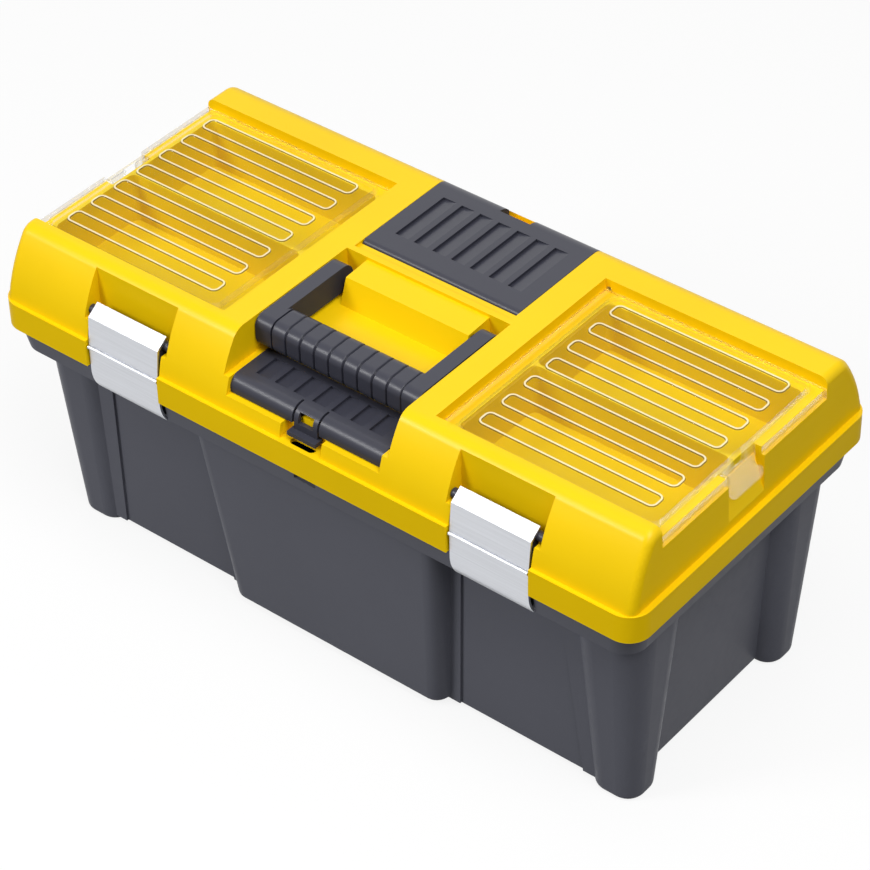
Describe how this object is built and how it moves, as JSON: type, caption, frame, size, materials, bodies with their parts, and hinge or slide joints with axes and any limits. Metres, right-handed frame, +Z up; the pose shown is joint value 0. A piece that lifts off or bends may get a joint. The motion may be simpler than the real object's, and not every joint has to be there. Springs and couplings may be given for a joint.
{
  "type": "tool box",
  "caption": "Plastic tool box on tapering legs with a hinged organiser lid, clear lift-up bin covers, folding grip, snap latches and a lift-out tray.",
  "frame": {"origin": "centre of the bounding box on the plane of the leg soles", "axes": "+X along the length to the right, -Y towards the front with the latches, +Z up"},
  "size_m": [0.525, 0.256, 0.246],
  "materials": {
    "yellow_plastic": "fine satin moulded surface",
    "grey_plastic": "satin moulded surface",
    "clear_plastic": "clear glossy",
    "latch_metal": "satin silver",
    "pin_steel": "plain drawn wire"
  },
  "bodies": {
    "base": {"tub": "grey_plastic", "left_hinge_pin": "pin_steel", "right_hinge_pin": "pin_steel"},
    "lid": {"lid_shell": "yellow_plastic", "left_well": "yellow_plastic", "right_well": "yellow_plastic", "front_well": "yellow_plastic", "rear_well": "yellow_plastic", "left_latch_pin": "pin_steel", "right_latch_pin": "pin_steel"},
    "left_cover": {"left_clear_cover": "clear_plastic"},
    "right_cover": {"right_clear_cover": "clear_plastic"},
    "front_cover": {"front_bin_cover": "grey_plastic"},
    "rear_cover": {"rear_bin_cover": "grey_plastic"},
    "handle": {"handle_bail": "grey_plastic", "handle_grip": "grey_plastic"},
    "left_latch": {"left_latch_body": "grey_plastic", "left_latch_plate": "latch_metal"},
    "right_latch": {"right_latch_body": "grey_plastic", "right_latch_plate": "latch_metal"},
    "tray": {"tool_tray": "grey_plastic"}
  },
  "joints": [
    {"name": "lid_hinge", "type": "hinge", "parent": "base", "child": "lid", "pos_m": [0, 0.1235, 0.1707], "axis": [-1, 0, 0], "range_deg": [0, 105]},
    {"name": "left_latch_hinge", "type": "hinge", "parent": "lid", "child": "left_latch", "pos_m": [-0.1512, -0.1145, 0.2135], "axis": [-1, 0, 0], "range_deg": [0, 100]},
    {"name": "right_latch_hinge", "type": "hinge", "parent": "lid", "child": "right_latch", "pos_m": [0.1512, -0.1145, 0.2135], "axis": [-1, 0, 0], "range_deg": [0, 100]},
    {"name": "handle_hinge", "type": "hinge", "parent": "lid", "child": "handle", "pos_m": [0, -0.013, 0.2365], "axis": [-1, 0, 0], "range_deg": [0, 90]},
    {"name": "left_cover_hinge", "type": "hinge", "parent": "lid", "child": "left_cover", "pos_m": [-0.0896, -0.00695, 0.2386], "axis": [0, 1, 0], "range_deg": [0, 92]},
    {"name": "right_cover_hinge", "type": "hinge", "parent": "lid", "child": "right_cover", "pos_m": [0.0896, -0.00695, 0.2386], "axis": [0, -1, 0], "range_deg": [0, 92]},
    {"name": "front_cover_hinge", "type": "hinge", "parent": "lid", "child": "front_cover", "pos_m": [0, -0.082, 0.2155], "axis": [-1, 0, 0], "range_deg": [0, 30]},
    {"name": "rear_cover_hinge", "type": "hinge", "parent": "lid", "child": "rear_cover", "pos_m": [0, 0.021, 0.242], "axis": [1, 0, 0], "range_deg": [0, 90]},
    {"name": "tray_lift", "type": "slide", "parent": "base", "child": "tray", "axis": [0, 0, 1], "range_m": [0, 0.015]}
  ]
}
